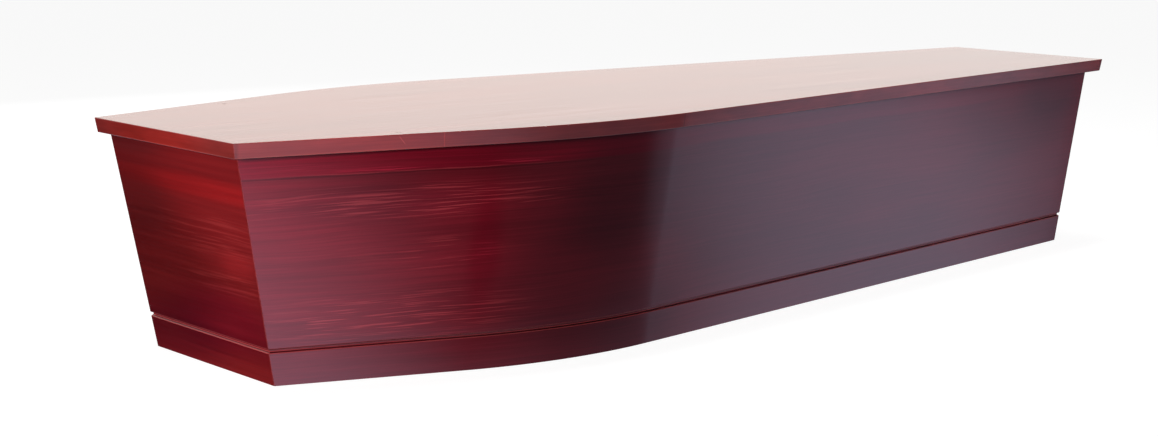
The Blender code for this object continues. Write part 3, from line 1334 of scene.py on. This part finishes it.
class WorldSketch(Sketch):
    """Paints the world: white to the camera, and for the lacquer a pale backdrop behind and a dim room in front.

    Below the horizon the walls mirror a pale floor near the head, a pale card at the right and the dim room.
    """

    pale_floor = Region(
        (Fade(-62.0, -92.0, 0.25), Fade(-165.0, -135.0), Fade(-20.0, -45.0)), (Fade(-11.0, -26.0, 0.0, 1.65),)
    )
    card = Region((Fade(20.0, 0.0),), (Fade(-10.5, -16.0, 1.22),))
    card_low = Fade(-10.6, -15.4)
    card_edge = ((-34.6, -30.8), (-31.4, -28.8))
    card_glow = ((-43.0, -37.0), (-34.6, -31.2))
    glow_share = 0.26
    card_foot_side = Fade(-19.8, -24.1, 0.04)
    card_level = -13.0
    card_leans = (1.36, 0.5)
    steep = Region((), (Fade(-30.0, -48.0, 1.0, 0.35),))
    room = Region((Fade(-94.0, -70.0), Fade(30.0, 0.0)), (Fade(-12.0, -15.0, 0.08, 0.14),))
    far_side = Region((Fade(25.0, 50.0), Fade(102.0, 84.0)), (Fade(-4.0, -16.0, 0.1, 0.6),))
    below_tint = (0.95, 1.06, 1.42)
    horizon = Fade(-1.5, 0.5)
    backdrop = Region((Fade(0.0, 22.0), Fade(178.0, 150.0)), (Fade(75.0, 35.0, 0.4),))
    backdrop_warming = Region((Fade(30.0, 60.0),), ())
    backdrop_tints = ((1.03, 0.965, 0.93, 1.0), (1.12, 0.99, 0.935, 1.0))
    front = Region((), (Fade(22.0, 4.0, 0.05, 0.5),))
    front_tint = (1.0, 0.98, 1.0)
    unmirrored_rise = Fade(-0.3, 0.5)
    unmirrored = ((0.02, 0.02, 0.02, 1.0), (0.05, 0.05, 0.05, 1.0))

    def __init__(self, tree: bpy.types.NodeTree) -> None:
        """Starts on the world's tree, with the ray's angles in degrees.

        Args:
            tree: the world's tree.
        """
        super().__init__(tree)
        tree.nodes.clear()
        way = self.node("ShaderNodeTexCoord").outputs["Generated"]
        east, north, self.rise = (self.part(way, axis) for axis in "XYZ")
        self.azimuth = self.math("DEGREES", self.math("ARCTAN2", north, east))
        self.elevation = self.math("DEGREES", self.math("ARCSINE", self.rise))

    def faded(self, angle: Socket, fade: Fade) -> Socket:
        """The strength of one soft edge at an angle."""
        return self.ramp(angle, fade.start, fade.end, (fade.least, fade.most))

    def lit(self, region: Region) -> Socket:
        """How bright a region is along the ray: the product of its soft edges.

        Args:
            region: the region.

        Returns:
            The brightness's socket.
        """
        edges = [self.faded(self.azimuth, fade) for fade in region.azimuth]
        edges += [self.faded(self.elevation, fade) for fade in region.elevation]
        return self.product(*edges)

    def leaning(self, low: Socket, ends: tuple[Plan, Plan]) -> Socket:
        """A soft edge in azimuth that leans, from one pair of angles at the card's top to another low down."""
        return self.ramp(self.azimuth, *(self.lerp("FLOAT", low, *angles) for angles in zip(*ends)))

    def pale_card(self) -> Socket:
        """The pale card at the right, whose edge glows a little.

        Returns:
            Its brightness along the ray.
        """
        low = self.faded(self.elevation, self.card_low)
        edge, glow = self.leaning(low, self.card_edge), self.leaning(low, self.card_glow)
        above = self.math("SUBTRACT", self.elevation, self.card_level)
        lean = self.math("MAXIMUM", *(self.product(above, slope) for slope in self.card_leans))
        foot_side = self.faded(self.math("ADD", self.azimuth, lean), self.card_foot_side)
        return self.product(self.lerp("FLOAT", self.glow_share, edge, glow), foot_side, self.lit(self.card))

    def below(self) -> Socket:
        """What the walls mirror below the horizon.

        Returns:
            The light's colour.
        """
        nearest = self.math("MAXIMUM", self.lit(self.pale_floor), self.pale_card())
        total = self.math("ADD", self.product(nearest, self.lit(self.steep)), self.lit(self.room))
        total = self.math("ADD", total, self.lit(self.far_side))
        return self.scaled(self.colour(self.below_tint), total)

    def above(self) -> Socket:
        """What the lid and the walls mirror above the horizon.

        Returns:
            The light's colour.
        """
        behind = self.lerp("RGBA", self.lit(self.backdrop_warming), *self.backdrop_tints)
        before = self.scaled(self.colour(self.front_tint), self.lit(self.front))
        return self.lerp("RGBA", self.lit(self.backdrop), before, behind)

    def paint(self) -> None:
        """Paints the whole world."""
        mirrored = self.lerp("RGBA", self.faded(self.elevation, self.horizon), self.below(), self.above())
        soft = self.lerp("RGBA", self.faded(self.rise, self.unmirrored_rise), *self.unmirrored)
        ray = self.node("ShaderNodeLightPath").outputs
        seen = self.lerp("RGBA", ray["Is Glossy Ray"], soft, mirrored)
        final = self.lerp("RGBA", ray["Is Camera Ray"], seen, (1.0, 1.0, 1.0, 1.0))
        shown = self.node("ShaderNodeBackground", {"Color": final, "Strength": 1.0}).outputs[0]
        self.node("ShaderNodeOutputWorld", {"Surface": shown})


@dataclass(frozen=True)
class SoftLight:
    """A rectangular soft light: where it stands, what it faces, its size, its watts and the width of its beam."""

    name: str
    place: Point
    aim: Point
    size: Plan
    power: float
    colour: Colour = (1.0, 1.0, 1.0)
    spread: float = 180.0
    mirrored: bool = True

    def build(self) -> None:
        """Sets up the light, which the camera doesn't see."""
        data = bpy.data.lights.new(self.name, "AREA")
        data.shape = "RECTANGLE"
        data.size, data.size_y = self.size
        data.energy = self.power
        data.color = self.colour
        data.spread = radians(self.spread)
        lamp = linked(self.name, data)
        lamp.location = self.place
        lamp.rotation_euler = (Vector(self.aim) - Vector(self.place)).to_track_quat("-Z", "Y").to_euler()
        lamp.visible_camera = False
        lamp.visible_glossy = self.mirrored


@dataclass
class Studio:
    """The pale floor, the soft lights and the camera at the photograph's angle."""

    camera_place: Point = (-2.50779, -2.74294, 0.74445)
    camera_yaw: float = -0.69888
    camera_pitch: float = -0.16485
    focal_share: float = 2121.335 / 1158
    sensor_width: float = 36.0
    floor_size: float = 30.0
    floor_tone: float = 0.2
    floor_glow: float = 0.93
    lights: tuple[SoftLight, ...] = (
        SoftLight(
            "key_light", (-2.8, -1.2, 0.7), (-0.95, -0.05, 0.17), (0.5, 0.5), 2.2, (1.0, 0.97, 0.94), 29.0, False
        ),
        SoftLight(
            "foot_light", (2.6, -1.4, 0.7), (0.42, -0.26, 0.17), (0.8, 0.8), 2.2, (1.0, 0.98, 1.0), 44.0, False
        ),
        SoftLight("top_light", (0.0, 0.05, 2.6), (0.0, 0.05, 0.3), (2.2, 0.5), 60.0, (1.0, 0.98, 0.96)),
        SoftLight("back_light", (0.3, 3.2, 1.2), (0.0, 0.2, 0.15), (2.0, 1.2), 30.0, mirrored=False),
    )

    def camera(self) -> None:
        """The camera."""
        flat = cos(self.camera_pitch)
        ahead = Vector((-sin(self.camera_yaw) * flat, cos(self.camera_yaw) * flat, sin(self.camera_pitch)))
        data = bpy.data.cameras.new("camera")
        data.sensor_width = self.sensor_width
        data.lens = self.focal_share * self.sensor_width
        camera = linked("camera", data)
        camera.location = self.camera_place
        camera.rotation_euler = ahead.to_track_quat("-Z", "Y").to_euler()
        bpy.context.scene.camera = camera

    def floor(self) -> None:
        """The floor, which the camera sees and the lacquer doesn't mirror."""
        half = self.floor_size / 2
        data = bpy.data.meshes.new("studio_floor")
        corners = [(-half, -half, 0.0), (half, -half, 0.0), (half, half, 0.0), (-half, half, 0.0)]
        data.from_pydata(corners, [], [(0, 1, 2, 3)])
        paint = bpy.data.materials.new("studio_floor")
        paint.use_nodes = True
        sketch = Sketch(paint.node_tree)
        sketch.tree.nodes.clear()
        matt = sketch.node("ShaderNodeBsdfDiffuse", {"Color": (*(self.floor_tone,) * 3, 1.0)}).outputs[0]
        light = {"Color": (1.0, 1.0, 1.0, 1.0), "Strength": self.floor_glow}
        glow = sketch.node("ShaderNodeEmission", light).outputs[0]
        both = sketch.node("ShaderNodeAddShader", {0: matt, 1: glow}).outputs[0]
        sketch.node("ShaderNodeOutputMaterial", {"Surface": both})
        data.materials.append(paint)
        floor = linked("studio_floor", data)
        floor.visible_diffuse = False
        floor.visible_glossy = False

    def surroundings(self) -> None:
        """The world."""
        world = bpy.data.worlds.new("studio")
        bpy.context.scene.world = world
        world.use_nodes = True
        WorldSketch(world.node_tree).paint()

    def build(self) -> None:
        """The whole studio: the key light left of the head end, a fill, a top light and one behind."""
        self.camera()
        self.floor()
        for light in self.lights:
            light.build()
        self.surroundings()
        bpy.context.scene.view_settings.view_transform = "Standard"


def main() -> None:
    """Builds the coffin's boards in order, then the studio round them."""
    logging.basicConfig(level=logging.INFO, format="%(name)s %(message)s")
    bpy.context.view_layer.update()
    shape, tree = LidShape(), BoardTree()
    finishes = Finishes.mixed(shape.broken_lacquer())
    walls, lid = Walls(shape, tree, finishes), Lid(shape, tree, finishes)
    place_piece(BaseBoard(walls).board(), "base_board")
    for side in Side:
        place_piece(walls.side_board(side), f"side_board_{side.name.lower()}")
    for end in End:
        place_piece(walls.end_board(end), f"{end.value}_board")
    place_piece(lid.board(), "lid_board")
    Studio().build()


if __name__ == "__main__":
    main()
